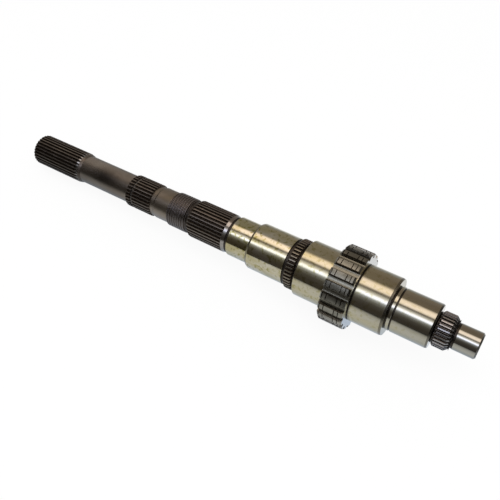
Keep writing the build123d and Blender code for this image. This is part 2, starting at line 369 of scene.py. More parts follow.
def ground_steel():
    """Material of the ground part of the turned body."""
    material, tree, shader = new_material("ground_journal_steel")
    rings = group(tree, RINGS)
    oil = group(tree, OIL)
    ground = attribute(tree, "ground")
    way = oil.outputs["Way"]
    journals = blend(tree, spread(tree, way, 0.0, FIRST_JOURNAL_WAY), NOSE_GREY, JOURNAL_STRAW)
    clean = blend(tree, spread(tree, way, FIRST_JOURNAL_WAY, SEAT_WAY), journals, SEAT_STRAW)
    oiled = blend(tree, times(tree, oil.outputs["Film"], OIL_THICKNESS), clean, OIL_STRAW)
    specked = blend(tree, times(tree, oil.outputs["Specks"], OIL_THICKNESS), oiled, OIL_SPECK)
    fill(tree, shader.inputs["Base Color"], blend(tree, ground, TURNED_SCALE_AND_SHADE, specked))
    shader.inputs["Metallic"].default_value = 1.0
    smooth = between(tree, rings.outputs["Bands"], *GROUND_ROUGHNESS)
    fill(tree, shader.inputs["Roughness"], mix_value(tree, ground, TURNED_ROUGHNESS, smooth))
    bump(tree, shader, rings.outputs["Height"], RING_DEPTH, 0.4)
    return material


GROUND_STEEL = ground_steel()
print("made material", GROUND_STEEL.name)

# %% [markdown]
# ### Forged and turned steel
# Behind the nut the shaft is not ground. The spacer land is turned and has a thin tan oxide; the shank keeps
# a grey scale from the furnace, and one long dark patch on its camera side is a painted dark reflection. Both
# mirror the studio dimly.

# %% Forged and turned steel
# Place, shape and colour of a long painted dark reflection on the camera's side of the shank.
PATCH_MIDDLE = (-0.424, -0.0096, 0.0125)
PATCH_SHAPE = (60.0, 110.0, 110.0)
PATCH_LIMITS_FROM_MIDDLE = (1.6, 0.5)
RAGS_PER_METRE = 120.0
PATCH_RAGGEDNESS = 0.6
PAINTED_PATCH_DARK = (0.05, 0.042, 0.036, 1.0)
SHANK_LIGHT, SHANK_DARK = (0.26, 0.238, 0.21, 1.0), (0.19, 0.163, 0.135, 1.0)
LAND_LIGHT, LAND_DARK = (0.25, 0.22, 0.19, 1.0), (0.16, 0.135, 0.1, 1.0)
PATCHY_ROUGHNESS = 0.08
SCALE_DEPTH = 0.00001


def painted_dark_patch():
    """Group: a mask for the painted dark reflection, a long patch on the camera's side of the shank."""
    tree, inside = new_group("Painted dark patch", {"Strength": 0.8})
    place = shaft_coordinates(tree)
    middle = add(tree, "ShaderNodeVectorMath", {0: place, 1: PATCH_MIDDLE}, operation="SUBTRACT").outputs[0]
    near = add(tree, "ShaderNodeVectorMath", {0: scaled(tree, middle, PATCH_SHAPE)}, operation="LENGTH")
    ragged = times(tree, noise(tree, place, RAGS_PER_METRE), PATCH_RAGGEDNESS)
    mask = spread(tree, plus(tree, near.outputs["Value"], ragged), *PATCH_LIMITS_FROM_MIDDLE)
    return give(tree, {"Mask": times(tree, mask, inside["Strength"])})


PAINTED_DARK_PATCH = painted_dark_patch()


def dull_steel(name, light, dark, roughness):
    """Material of an unground turned stretch, from its light and its dark patches."""
    material, tree, shader = new_material(name)
    rings = group(tree, RINGS, Rings_per_metre=900.0)
    scale = group(tree, SCALE, Patch_size=0.035, Grit_size=0.0006)
    ground = attribute(tree, "ground")
    patched = blend(tree, scale.outputs["Patches"], light, dark)
    # Painted dark reflection on the shank's camera side.
    painted_dark = blend(tree, group(tree, PAINTED_DARK_PATCH).outputs["Mask"], patched, PAINTED_PATCH_DARK)
    fill(tree, shader.inputs["Base Color"], blend(tree, ground, TURNED_SCALE_AND_SHADE, painted_dark))
    shader.inputs["Metallic"].default_value = 1.0
    rougher = between(tree, scale.outputs["Patches"], roughness, roughness + PATCHY_ROUGHNESS)
    fill(tree, shader.inputs["Roughness"], rougher)
    relief = plus(tree, times(tree, rings.outputs["Height"], 0.5), scale.outputs["Grit"])
    bump(tree, shader, relief, SCALE_DEPTH, 0.5)
    return material


SHANK_STEEL = dull_steel("scaled_shank_steel", SHANK_LIGHT, SHANK_DARK, roughness=0.24)
LAND_STEEL = dull_steel("tan_land_steel", LAND_LIGHT, LAND_DARK, roughness=0.32)
print("made materials", SHANK_STEEL.name, LAND_STEEL.name)

# %% [markdown]
# ### Toothed steel
# Splines are cut before the heat treatment and stay unground, so they keep their scale. Grease gathers in the
# gaps, and painted shade in the gaps and on the flanks leaves them almost black, while the crests are rubbed
# a shade lighter. The hub's gaps are wide, so they hold only a thin film of grease, and a black painted shade
# stays along the edges of the teeth and in the grooves across them.

# %% Toothed steel
# Near-black of grease and painted shade, for gap floors, flanks, crest edges and grooves.
GREASE_AND_SHADE_BLACK = (0.034, 0.025, 0.018, 1.0)
# The nose spline's dark floors and flanks: thin grease and painted shade.
THIN_GREASE_AND_SHADE = (0.09, 0.078, 0.068, 1.0)
HUB_GREASE = (0.17, 0.16, 0.13, 1.0)
RIM_SHADE = 0.95
FLANK_LIMITS = (0.02, 0.2)
CREST_LIMITS = (0.8, 0.98)
GROOVE_LIMITS = (0.1, 0.4)
WORN_ROUGHNESS = 0.12
FACE_ROUGHNESS = 0.14
FULL_POLISH = 0.25
GRIT_DEPTH = 0.00002
FACE_STEEL = (0.56, 0.57, 0.56, 1.0)


def toothed_steel(name, floor, crest, worn, roughness, grease_and_shade=GREASE_AND_SHADE_BLACK):
    """Material of a toothed zone: colours for its gap floors, crests, worn patches and flanks. Dark floors
    and flanks are grease and painted shade.
    """
    material, tree, shader = new_material(name)
    scale = group(tree, SCALE, Patch_size=0.012, Grit_size=0.0005)
    height = attribute(tree, "height")
    polish = attribute(tree, "polish")
    top = blend(tree, scale.outputs["Patches"], crest, worn)
    # Flanks take the grease colour, which for most zones is also painted shade.
    low = blend(tree, spread(tree, height, *FLANK_LIMITS), floor, grease_and_shade)
    # Painted shade along the edges of each crest.
    edged = blend(tree, times(tree, attribute(tree, "rim"), RIM_SHADE), top, GREASE_AND_SHADE_BLACK)
    colour = blend(tree, spread(tree, height, *CREST_LIMITS), low, edged)
    # Painted shade in the grooves across the teeth.
    in_grooves = times(tree, attribute(tree, "grime"), spread(tree, height, *GROOVE_LIMITS))
    groove_shaded = blend(tree, in_grooves, colour, GREASE_AND_SHADE_BLACK)
    fill(tree, shader.inputs["Base Color"], blend(tree, polish, groove_shaded, FACE_STEEL))
    shader.inputs["Metallic"].default_value = 1.0
    dull = between(tree, scale.outputs["Patches"], roughness, roughness + WORN_ROUGHNESS)
    smooth = over(tree, polish, FULL_POLISH, clamp=True)
    fill(tree, shader.inputs["Roughness"], mix_value(tree, smooth, dull, FACE_ROUGHNESS))
    bump(tree, shader, scale.outputs["Grit"], GRIT_DEPTH, 0.5)
    return material


SPLINE_STEEL = toothed_steel(
    "scaled_spline_steel", floor=GREASE_AND_SHADE_BLACK, crest=(0.135, 0.115, 0.098, 1), worn=(0.19, 0.168, 0.142, 1),
    roughness=0.38)
NOSE_STEEL = toothed_steel(
    "nose_spline_steel", floor=THIN_GREASE_AND_SHADE, crest=(0.31, 0.305, 0.3, 1), worn=(0.39, 0.385, 0.38, 1),
    roughness=0.3, grease_and_shade=THIN_GREASE_AND_SHADE)
RING_STEEL = toothed_steel(
    "thrust_ring_steel", floor=GREASE_AND_SHADE_BLACK, crest=(0.17, 0.152, 0.12, 1), worn=(0.24, 0.215, 0.16, 1),
    roughness=0.34)
HUB_STEEL = toothed_steel(
    "hub_tooth_steel", floor=(0.17, 0.165, 0.132, 1), crest=(0.14, 0.137, 0.113, 1),
    worn=(0.25, 0.244, 0.205, 1), roughness=0.25, grease_and_shade=HUB_GREASE)
THREAD_STEEL = toothed_steel(
    "thread_steel", floor=(0.16, 0.145, 0.139, 1), crest=(0.18, 0.163, 0.155, 1),
    worn=(0.21, 0.192, 0.182, 1), roughness=0.4)
for steel in (SPLINE_STEEL, NOSE_STEEL, RING_STEEL, HUB_STEEL, THREAD_STEEL):
    print("made material", steel.name)


# %% [markdown]
# ## Turned body
# The body is what a lathe leaves: one outline turned about the axis. Blender could spin a curve, but a node
# tree keeps the rule visible: a grid has one row for each outline point and one column for each step round
# the axis, and each grid point is moved to its outline point's radius at its column's angle. Merging by
# distance then closes the seam and the poles.

# %% Helpers for geometry trees
WELD_DISTANCE = 1e-6


def new_object(name, data):
    """An object with a mesh, a lamp or a camera, put into the scene."""
    made = bpy.data.objects.new(name, data)
    bpy.context.scene.collection.objects.link(made)
    return made


def outline_mesh(name, rows, values):
    """A mesh of loose points, one per row, with one named value list for each extra attribute."""
    mesh = bpy.data.meshes.new(name)
    mesh.from_pydata(rows, [], [])
    for title, numbers in values.items():
        mesh.attributes.new(title, "FLOAT", "POINT").data.foreach_set("value", numbers)
    return new_object(name, mesh)


def new_geometry_tree(name, inputs):
    """A Geometry Nodes tree with a geometry socket each way and named inputs, given as kinds of socket."""
    tree = bpy.data.node_groups.new(name, "GeometryNodeTree")
    tree.interface.new_socket("Geometry", in_out="INPUT", socket_type="NodeSocketGeometry")
    for title, kind in inputs.items():
        tree.interface.new_socket(title, in_out="INPUT", socket_type=kind)
    tree.interface.new_socket("Geometry", in_out="OUTPUT", socket_type="NodeSocketGeometry")
    return tree, tree.nodes.new("NodeGroupInput"), tree.nodes.new("NodeGroupOutput")


def sampled(tree, geometry, value, index, data_type="FLOAT"):
    """A value of a geometry's point, read by its number."""
    node = add(tree, "GeometryNodeSampleIndex", data_type=data_type, domain="POINT")
    for socket, item in zip((node.inputs["Geometry"], node.inputs["Value"], node.inputs["Index"]),
                            (geometry, value, index)):
        tree.links.new(item, socket)
    return node.outputs[0]


def sampled_place(tree, geometry, index):
    """The outputs X, Y and Z of the place of a geometry's point."""
    place = add(tree, "GeometryNodeInputPosition").outputs["Position"]
    return parts_of(tree, sampled(tree, geometry, place, index, "FLOAT_VECTOR"))


def sampled_mark(tree, geometry, name, index):
    """The named attribute of a geometry's point."""
    mark = add(tree, "GeometryNodeInputNamedAttribute", {"Name": name}, data_type="FLOAT")
    return sampled(tree, geometry, mark.outputs["Attribute"], index)


def point_count(tree, geometry):
    """How many points a geometry has."""
    return add(tree, "GeometryNodeAttributeDomainSize", {"Geometry": geometry}).outputs["Point Count"]


def numbered_grid(tree, rows, columns):
    """A grid, and the row and the column of each of its points. They are numbered along a row first."""
    grid = add(tree, "GeometryNodeMeshGrid", {"Vertices X": rows, "Vertices Y": columns}).outputs["Mesh"]
    index = add(tree, "GeometryNodeInputIndex").outputs["Index"]
    row = math(tree, "FLOOR", over(tree, plus(tree, index, 0.5), columns))
    column = minus(tree, index, times(tree, row, columns))
    return grid, row, column


def round_axis(tree, station, radius, angle):
    """A point at a station, a radius and an angle from +Y towards +Z, in metres from millimetres."""
    x = times(tree, station, -MM)
    size = times(tree, radius, MM)
    y = times(tree, size, math(tree, "COSINE", angle))
    z = times(tree, size, math(tree, "SINE", angle))
    return add(tree, "ShaderNodeCombineXYZ", {"X": x, "Y": y, "Z": z}).outputs["Vector"]


def finish_tree(tree, out, grid, position, stored, material):
    """Move the grid's points, store the named values, close the seam and the poles, and set the material."""
    geometry = grid
    for name, value in stored.items():
        store = add(tree, "GeometryNodeStoreNamedAttribute", {
            "Geometry": geometry, "Name": name, "Value": value}, data_type="FLOAT", domain="POINT")
        geometry = store.outputs["Geometry"]
    steps = (("SetPosition", {"Position": position}), ("MergeByDistance", {"Distance": WELD_DISTANCE}),
             ("RealizeInstances", {}), ("SetMaterial", {"Material": material}))
    for kind, inputs in steps:
        geometry = add(tree, "GeometryNode" + kind, {"Geometry": geometry, **inputs}).outputs["Geometry"]
    tree.links.new(geometry, out.inputs["Geometry"])


# %% [markdown]
# The first tree turns an outline. Its source is a mesh of loose points that hold a station and a radius, and
# each row of the grid reads the point with its own number. One column more than there are steps lands on the
# first column again, and the merge closes that seam.

# %% Tree that turns an outline
def turning_tree():
    """Tree: turn the input's points, read as (station, radius), about the axis."""
    tree, inside, out = new_geometry_tree(
        "Turn an outline", {"Steps": "NodeSocketInt", "Material": "NodeSocketMaterial"})
    outline, steps = inside.outputs["Geometry"], inside.outputs["Steps"]
    grid, row, column = numbered_grid(tree, point_count(tree, outline), plus(tree, steps, 1.0))
    point = sampled_place(tree, outline, row)
    angle = times(tree, over(tree, column, steps), 2 * pi)
    position = round_axis(tree, point["X"], point["Y"], angle)
    ground = sampled_mark(tree, outline, "ground", row)
    finish_tree(tree, out, grid, position, {"ground": ground}, inside.outputs["Material"])
    return tree


TURNING = turning_tree()
print("made tree", TURNING.name)

# %% [markdown]
# A tree's result is kept as a plain mesh, laid down on the solid, and handed over as a piece that replaces
# the solid in the picture. Edges sharper than a limit stay sharp, so that faces look flat and cylinders
# round.

# %% Turn a tree's result into a finished piece
SHARP_ANGLE = radians(32)


def finished_piece(name, source, tree, values):
    """Run a tree on a source object and keep the result as a plain mesh, laid down on the solid."""
    modifier = source.modifiers.new("Shape", "NODES")
    modifier.node_group = tree
    sockets = {item.name: item.identifier for item in tree.interface.items_tree if item.in_out == "INPUT"}
    for title, value in values.items():
        modifier[sockets[title]] = value
    evaluated = source.evaluated_get(bpy.context.evaluated_depsgraph_get())
    mesh = bpy.data.meshes.new_from_object(evaluated)
    bpy.data.objects.remove(source)
    mesh.transform(lay_down)
    volume = sum(face.normal.dot(face.center) * face.area for face in mesh.polygons) / 3
    if volume < 0:
        mesh.flip_normals()
    mesh.shade_smooth()
    mesh.set_sharp_from_angle(angle=SHARP_ANGLE)
    piece = new_object(name, mesh)
    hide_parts("main_shaft")
    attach(piece, "root")
    triangles = sum(len(face.vertices) - 2 for face in mesh.polygons)
    print(f"{name}: {triangles} triangles, {abs(volume) / MM ** 3:.0f} mm3")


# %% [markdown]
# A lathe tool never leaves a perfectly sharp corner, and a corner that is broken by a fifth of a millimetre
# catches the light as a thin line. The class below collects stretches of one diameter, each with a chamfer at
# either end and a mark for whether it is ground, and the corners are then broken in one go.

# %% Collect the stretches of a turned piece
TURNING_STEPS = 192
EDGE_BREAK = 0.18
BREAK_SHARE = 0.4
MARK_STEP = 0.1
TURNED_MARK = 0.4
HOLD = 0.12


def with_holding_rows(rows):
    """Rows with two more near the ends of each long stretch, which keep the shading even between them."""
    kept = [rows[0]]
    for before, after in zip(rows, rows[1:]):
        length = (Vector(after[:2]) - Vector(before[:2])).length
        if length > 5 * HOLD:
            for share in (HOLD / length, 1.0 - HOLD / length):
                kept.append(tuple(a + (b - a) * share for a, b in zip(before, after)))
        kept.append(after)
    return kept


class Outline:
    """Half outline of a turned shape, from the nose to the tail."""

    def __init__(self):
        self.points = []
        self.ground = []

    def draw(self, station, radius, ground=0.0):
        """Add one point, marked as ground or not."""
        self.points.append((station, radius))
        self.ground.append(ground)

    def stretch(self, name, radius, nose=(0.0, 0.0), tail=(0.0, 0.0), ground=1.0):
        """Add a stretch with a chamfer of a given length and drop at each end. Chamfers are only turned."""
        start, end = starts[name], ends[name]
        turned, rim = TURNED_MARK * ground, radius - nose[1]
        if self.points and rim - self.points[-1][1] > 2 * MARK_STEP and nose[0]:
            self.draw(start, self.points[-1][1] + MARK_STEP, ground)
            self.draw(start, rim - MARK_STEP, ground)
        if nose[0]:
            self.draw(start, rim, turned)
            self.draw(start + nose[0] - MARK_STEP, radius - nose[1] * MARK_STEP / nose[0], turned)
        self.draw(start + nose[0], radius, ground)
        self.draw(end - tail[0], radius, ground)
        if tail[0]:
            self.draw(end - tail[0] + MARK_STEP, radius - tail[1] * MARK_STEP / tail[0], turned)
        self.draw(end, radius - tail[1], turned if tail[0] else ground)

    def relief(self, name, radius):
        """Add a stretch that is only turned."""
        self.stretch(name, radius, ground=0.0)

    def broken(self, size):
        """The outline with every corner cut by a small chamfer, as points and ground marks."""
        kept, marks = [], []
        for point, mark in zip(self.points, self.ground):
            if not kept or (Vector(point) - Vector(kept[-1])).length > 1e-6:
                kept.append(point)
                marks.append(mark)
            else:
                marks[-1] = max(marks[-1], mark)
        points, ground = [kept[0]], [marks[0]]
        for before, here, after, mark in zip(kept, kept[1:], kept[2:], marks[1:]):
            for other in (before, after):
                line = Vector(other) - Vector(here)
                step = min(size, line.length * BREAK_SHARE)
                points.append(tuple(Vector(here) + line.normalized() * step))
                ground.append(mark)
        return points + [kept[-1]], ground + [marks[-1]]

    def turned(self, name, material):
        """Break the corners and turn the outline into a finished piece."""
        points, ground = self.broken(EDGE_BREAK)
        rows = with_holding_rows([(*point, mark) for point, mark in zip(points, ground)])
        places = [(station, radius, 0.0) for station, radius, mark in rows]
        source = outline_mesh(name + "_outline", places, {"ground": [mark for station, radius, mark in rows]})
        finished_piece(name, source, TURNING, {"Steps": TURNING_STEPS, "Material": material})


# %% [markdown]
# The ground part follows the real shaft from its nose: a pilot that runs in the input shaft, the third gear's
# journal with its snap ring groove, the second gear's journal, the hub's root, the first gear's journal, and
# the seats for the bearing and the sleeve. Inside the toothed zones it is a little slimmer than the gap
# floors, because those zones are pieces of their own.

# %% Make the ground part of the body
CENTRE_HOLE_RADIUS, CENTRE_HOLE_DEPTH, CENTRE_MOUTH_RADIUS = 2.0, 10.0, 4.5
CENTRE_CONE_DEPTH = (CENTRE_MOUTH_RADIUS - CENTRE_HOLE_RADIUS) / tan(radians(30))
INSIDE_TEETH = 2.0
SEAT_EDGE = (0.6, 0.6)
PILOT_CHAMFER = (1.5, 1.5)
THIRD_CONE = (0.8, -0.8)
THIRD_LEAD, SECOND_LEAD, BEARING_LEAD = (1.8, 0.8), (2.3, 0.6), (2.2, 1.2)
DEPTHS = {
    "pilot relief": 0.35, "snap groove": 1.1, "third relief": 0.9, "hub relief": 0.7, "sleeve relief": 2.2,
}
RELIEF_DROP = 1.5
RING_ROOT = FLOORS["thrust ring"] - RELIEF_DROP

front = Outline()
front.draw(CENTRE_HOLE_DEPTH, 0.0)
front.draw(CENTRE_HOLE_DEPTH, CENTRE_HOLE_RADIUS)
front.draw(CENTRE_CONE_DEPTH, CENTRE_HOLE_RADIUS)
front.draw(starts["pilot"], CENTRE_MOUTH_RADIUS)
front.stretch("pilot", RADII["pilot"], nose=PILOT_CHAMFER)
front.relief("pilot relief", RADII["pilot"] - DEPTHS["pilot relief"])
front.relief("nose spline", FLOORS["nose spline"] - INSIDE_TEETH)
front.stretch("nose neck", RADII["nose neck"], tail=THIRD_CONE, ground=0.0)
front.stretch("third journal", RADII["third journal"], nose=THIRD_LEAD)
front.relief("snap groove", RADII["third journal"] - DEPTHS["snap groove"])
front.stretch("third land", RADII["third journal"])
front.relief("third relief", RADII["third journal"] - DEPTHS["third relief"])
front.stretch("second journal", RADII["second journal"], nose=SECOND_LEAD)
front.relief("hub relief", RADII["second journal"] - DEPTHS["hub relief"])
front.stretch("hub", RADII["first journal"])
front.stretch("first journal", RADII["first journal"], tail=SEAT_EDGE)
for ring_stretch in ("first relief", "thrust ring", "bearing relief"):
    front.relief(ring_stretch, RING_ROOT)
front.stretch("bearing seat", RADII["bearing seat"], tail=BEARING_LEAD)
front.stretch("sleeve seat", RADII["sleeve seat"], tail=SEAT_EDGE)
front.relief("sleeve relief", RADII["sleeve seat"] - DEPTHS["sleeve relief"])
front.relief("fifth collar", FLOORS["fifth spline"] - INSIDE_TEETH)
front.draw(ends["fifth collar"], 0.0)
front.turned("ground_journals", GROUND_STEEL)

# %% [markdown]
# Behind the thread come the spacer land with its neck, and the long shank. They have finishes of their own,
# so they are pieces of their own. Their hidden ends lie inside the toothed zones.

# %% Make the land, the shank and the neck behind the fifth spline
NECK_SLOPE = 1.4
HIDDEN_END = 5.0
NECK_DROP = 0.1
FIFTH_ROOT = FLOORS["fifth spline"] - RELIEF_DROP
MIDDLE_ROOT = FLOORS["middle spline"] - NECK_DROP

neck = Outline()
neck.draw(ends["fifth spline"] - HIDDEN_END, 0.0)
neck.draw(ends["fifth spline"] - HIDDEN_END, FIFTH_ROOT)
neck.draw(ends["fifth relief"] + HIDDEN_END, FIFTH_ROOT)
neck.draw(ends["fifth relief"] + HIDDEN_END, 0.0)
neck.turned("fifth_relief_neck", GROUND_STEEL)

land = Outline()
land.draw(starts["spacer land"] - HIDDEN_END, 0.0)
land.draw(starts["spacer land"] - HIDDEN_END, RADII["spacer land"] - INSIDE_TEETH)
land.draw(starts["spacer land"], RADII["spacer land"], 1.0)
land.draw(ends["spacer land"] - NECK_SLOPE, RADII["spacer land"], 1.0)
land.stretch("middle neck", MIDDLE_ROOT)
land.draw(ends["middle neck"] + HIDDEN_END, MIDDLE_ROOT)
land.draw(ends["middle neck"] + HIDDEN_END, 0.0)
land.turned("spacer_land", LAND_STEEL)

shank = Outline()
shank.draw(starts["shank"] - HIDDEN_END, 0.0)
shank.draw(starts["shank"] - HIDDEN_END, FLOORS["middle spline"] - INSIDE_TEETH, 1.0)
shank.stretch("shank", RADII["shank"])
shank.draw(ends["shank"] + HIDDEN_END, RADII["shank"] - INSIDE_TEETH)
shank.draw(ends["shank"] + HIDDEN_END, 0.0)
shank.turned("shank", SHANK_STEEL)

# %% [markdown]
# ## Toothed zones
# A hob cuts the gaps of a spline into a turned blank, so the tree works the same way. A row has the blank's
# radius and the radius of the gap's floor at its station. A tooth outline gives, over one pitch, how far the
# cutter leaves the steel standing, from 0 on the floor to 1 at the crest. The surface is the lower of the
# blank and the cut, which makes chamfers, grooves across the teeth and run-outs come out right by themselves.

# %% Tree that cuts teeth into a blank
SHALLOWEST_GAP = 0.5


def toothing_tree():
    """Tree: turn the rows' blank and cut one gap per tooth into it, after a tooth outline."""
    tree, inside, out = new_geometry_tree("Cut teeth into a blank", {
        "Tooth outline": "NodeSocketObject", "Teeth": "NodeSocketInt", "Crest radius": "NodeSocketFloat",
        "First angle": "NodeSocketFloat", "Material": "NodeSocketMaterial"})
    source, teeth = inside.outputs["Geometry"], inside.outputs["Teeth"]
    info = add(tree, "GeometryNodeObjectInfo", {"Object": inside.outputs["Tooth outline"]})
    tooth = info.outputs["Geometry"]
    steps = point_count(tree, tooth)
    columns = plus(tree, times(tree, teeth, steps), 1.0)
    grid, row, column = numbered_grid(tree, point_count(tree, source), columns)
    number = math(tree, "FLOOR", over(tree, plus(tree, column, 0.5), steps))
    step = minus(tree, column, times(tree, number, steps))
    blank, form = sampled_place(tree, source, row), sampled_place(tree, tooth, step)
    pitch = over(tree, 2 * pi, teeth)
    turned = times(tree, plus(tree, number, form["X"]), pitch)
    angle = plus(tree, turned, inside.outputs["First angle"])
    standing, floor = blank["Y"], blank["Z"]
    depth = minus(tree, inside.outputs["Crest radius"], floor)
    cut = plus(tree, floor, times(tree, depth, form["Y"]))
    radius = math(tree, "MINIMUM", standing, cut)
    gap_depth = math(tree, "MAXIMUM", minus(tree, standing, floor), SHALLOWEST_GAP)
    below = over(tree, minus(tree, standing, radius), gap_depth)
    stored = {"height": minus(tree, 1.0, below)}
    for name in ("grime", "polish"):
        stored[name] = sampled_mark(tree, source, name, row)
    stored["rim"] = sampled_mark(tree, tooth, "rim", step)
    position = round_axis(tree, blank["X"], radius, angle)
    finish_tree(tree, out, grid, position, stored, inside.outputs["Material"])
    return tree


TOOTHING = toothing_tree()
print("made tree", TOOTHING.name)


# %% [markdown]
# The tooth outline is one pitch of the spline: floor, root fillet, straight flank, a small round at the
# crest's corner, crest, and the same again mirrored. Its shares are those of the solid. The rows of a zone
# are collected by a blank, so a chamfer, a groove or a run-out is one short line where a zone is made.

# %% Helpers that describe a toothed zone
CORNER_ROUND = 0.035
RIM_SHARE = 0.05
GROOVE_SLANT = 0.05
FLOOR_INSET = 0.3
FINE_SHARES = (0.36, 0.2)
RUNOUT_STEPS = 6


def tooth_outline(crest_share, floor_share):
    """One pitch as (share of the pitch, share of the depth, rim mark), with the tooth in its middle."""
    floor_edge, crest_edge = floor_share / 2, 0.5 - crest_share / 2
    flank = crest_edge - floor_edge
    half = [
        (0.0, 0.0, 0.0),  # middle of the gap
        (floor_edge * 0.7, 0.0, 0.0),  # foot of the fillet
        (floor_edge + flank * 0.12, 0.07, 0.0),  # top of the fillet
        (floor_edge + flank * 0.5, 0.5, 0.0),  # middle of the flank
        (crest_edge - flank * CORNER_ROUND, 0.95, 1.0),  # corner's round
        (crest_edge + flank * CORNER_ROUND * 2, 1.0, 1.0),
        (crest_edge + RIM_SHARE, 1.0, 0.0),  # crest
    ]
    return half + [(0.5, 1.0, 0.0)] + [(1.0 - share, rise, rim) for share, rise, rim in reversed(half[1:])]


def arc_rows():
    """Steps of a quarter arc as (share of its length, share of its height), from its top down."""
    shares = [step / RUNOUT_STEPS for step in range(RUNOUT_STEPS + 1)]
    return [(share, 1.0 - sqrt(1.0 - (1.0 - share) ** 2)) for share in shares]


class Blank:
    """Turned blank of a toothed zone, as rows of a station, a radius, a floor and marks."""

    def __init__(self, name):
        self.start, self.end = starts[name], ends[name]
        self.crest, self.floor, self.teeth = RADII[name], FLOORS[name], TEETH[name]
        self.rows = []

    def row(self, station, radius, floor=None, grime=0.0, polish=0.0):
        """Add one row. Its floor is the zone's own unless it is given."""
        self.rows.append((station, radius, self.floor if floor is None else floor, grime, polish))

    def face(self, station, rim, polish=0.0):
        """Add a flat end face, out to its rim."""
        for radius in (0.0, self.floor - FLOOR_INSET, rim):
            self.row(station, radius, polish=polish)

    def close(self, length, drop):
        """Add the chamfer at the tail end and the end face behind it."""
        self.row(self.end - length, self.crest)
        self.row(self.end, self.crest - drop)
        self.row(self.end, 0.0)

    def groove(self, middle, width, depth, grime=0.0, polish=0.0):
        """Add a turned groove across the teeth."""
        low, half = self.crest - depth, width / 2
        self.row(middle - half, self.crest)
        self.row(middle - half + GROOVE_SLANT, low, grime=grime, polish=polish)
        self.row(middle + half - GROOVE_SLANT, low, grime=grime, polish=polish)
        self.row(middle + half, self.crest)

    def runout(self, length):
        """Add rows whose floor comes down from the crest in a quarter arc, from the zone's start."""
        for share, rise in arc_rows():
            self.row(self.start + length * share, self.crest, self.floor + (self.crest - self.floor) * rise)

    def slope(self, length, first_cut, cut_length, polish):
        """Rise from the floor to the crest, and let the gaps begin part of the way up with an arc."""
        steepness = (self.crest - self.floor) / length
        for share, rise in arc_rows():
            along = first_cut + cut_length * share
            surface, floor = self.floor + steepness * along, self.floor + steepness * first_cut * rise
            shine = polish * (1.0 - share) if share else 0.0
            self.row(self.start + along, min(surface, self.crest), floor, polish=shine)

    def toothed(self, name, material, shares=FINE_SHARES, tooth_at=0.0):
        """Cut the teeth, the first with its middle at an angle, and turn the blank into a finished piece."""
        shares_along, rises, rims = zip(*tooth_outline(*shares))
        tooth = [(share, rise, 0.0) for share, rise in zip(shares_along, rises)]
        outline = outline_mesh(name + "_tooth", tooth, {"rim": rims})
        stations, radii, floors, grime, polish = zip(*with_holding_rows(self.rows))
        rows = list(zip(stations, radii, floors))
        source = outline_mesh(name + "_rows", rows, {"grime": grime, "polish": polish})
        finished_piece(name, source, TOOTHING, {
            "Tooth outline": outline, "Teeth": self.teeth, "Crest radius": self.crest,
            "First angle": tooth_at - pi / self.teeth, "Material": material})
        bpy.data.objects.remove(outline)


# %% [markdown]
# ### Nose spline
# It carries the hub of the third and fourth gear. Its long lead goes deeper than the teeth, so that the front
# is a plain cone.

# %% Make the nose spline
NOSE_LEAD = (3.9, 3.6)
NOSE_BACK = 1.6

nose = Blank("nose spline")
nose.face(nose.start, nose.crest - NOSE_LEAD[1])
nose.row(nose.start + NOSE_LEAD[0], nose.crest)
nose.close(NOSE_BACK, NOSE_BACK)
nose.toothed("nose_spline", NOSE_STEEL)

# %% [markdown]
# ### Shift hub
# The sleeve of the first and second gear slides on these twenty broad teeth. Two pairs of narrow grooves
# cross them, for the sleeve's detents and the blocker ring's spring. Its nose face is ground, because the
# second gear runs against it.

# %% Make the shift hub
HUB_LEAD = (2.1, 1.0)
HUB_CHAMFER = 1.2
HUB_GROOVE = (0.9, 1.2)
HUB_GROOVE_STATIONS = (119.0, 123.15, 133.75, 137.9)
# How much painted shade fills the hub's grooves.
HUB_GROOVE_SHADE = 0.9
HUB_FACE_EDGE = (0.1, 0.05)
HUB_SHARES = (0.51, 0.36)

hub = Blank("hub")
hub_rim = hub.crest - HUB_LEAD[1]
hub.face(hub.start, hub_rim, polish=1.0)
hub.row(hub.start + HUB_FACE_EDGE[0], hub_rim + HUB_FACE_EDGE[1])
hub.row(hub.start + HUB_LEAD[0], hub.crest)
for groove_station in HUB_GROOVE_STATIONS:
    hub.groove(groove_station, *HUB_GROOVE, grime=HUB_GROOVE_SHADE)
hub.close(HUB_CHAMFER, HUB_CHAMFER)
hub.toothed("shift_hub", HUB_STEEL, HUB_SHARES, tooth_at=pi / hub.teeth)

# %% [markdown]
# ### Thrust ring
# A narrow ring of fine teeth takes the first gear's thrust.

# %% Make the thrust ring
RING_CHAMFER = 0.8

ring = Blank("thrust ring")
ring.face(ring.start, ring.crest - RING_CHAMFER)
ring.row(ring.start + RING_CHAMFER, ring.crest)
ring.close(RING_CHAMFER, RING_CHAMFER)
ring.toothed("thrust_ring", RING_STEEL)

# %% [markdown]
# ### Fifth gear spline
# The hob stops short of the collar, so each gap's floor rises in the arc of the hob's own radius. The collar
# is ground to a taper and stays bright.

# %% Make the fifth gear spline
COLLAR_DROP = 1.1
COLLAR_BACK = (0.2, 0.15)
COLLAR_POLISH = 0.25
RUNOUT_LENGTH = 3.2
FIFTH_BACK = (2.6, 1.5)

fifth = Blank("fifth spline")
collar_end = fifth.start - COLLAR_BACK[0]
fifth.row(starts["fifth collar"], 0.0, polish=COLLAR_POLISH)
fifth.row(starts["fifth collar"], fifth.crest - COLLAR_DROP, fifth.crest, polish=COLLAR_POLISH)
fifth.row(collar_end, fifth.crest - COLLAR_BACK[1], fifth.crest, polish=COLLAR_POLISH)
fifth.runout(RUNOUT_LENGTH)
fifth.close(*FIFTH_BACK)
fifth.toothed("fifth_gear_spline", SPLINE_STEEL)

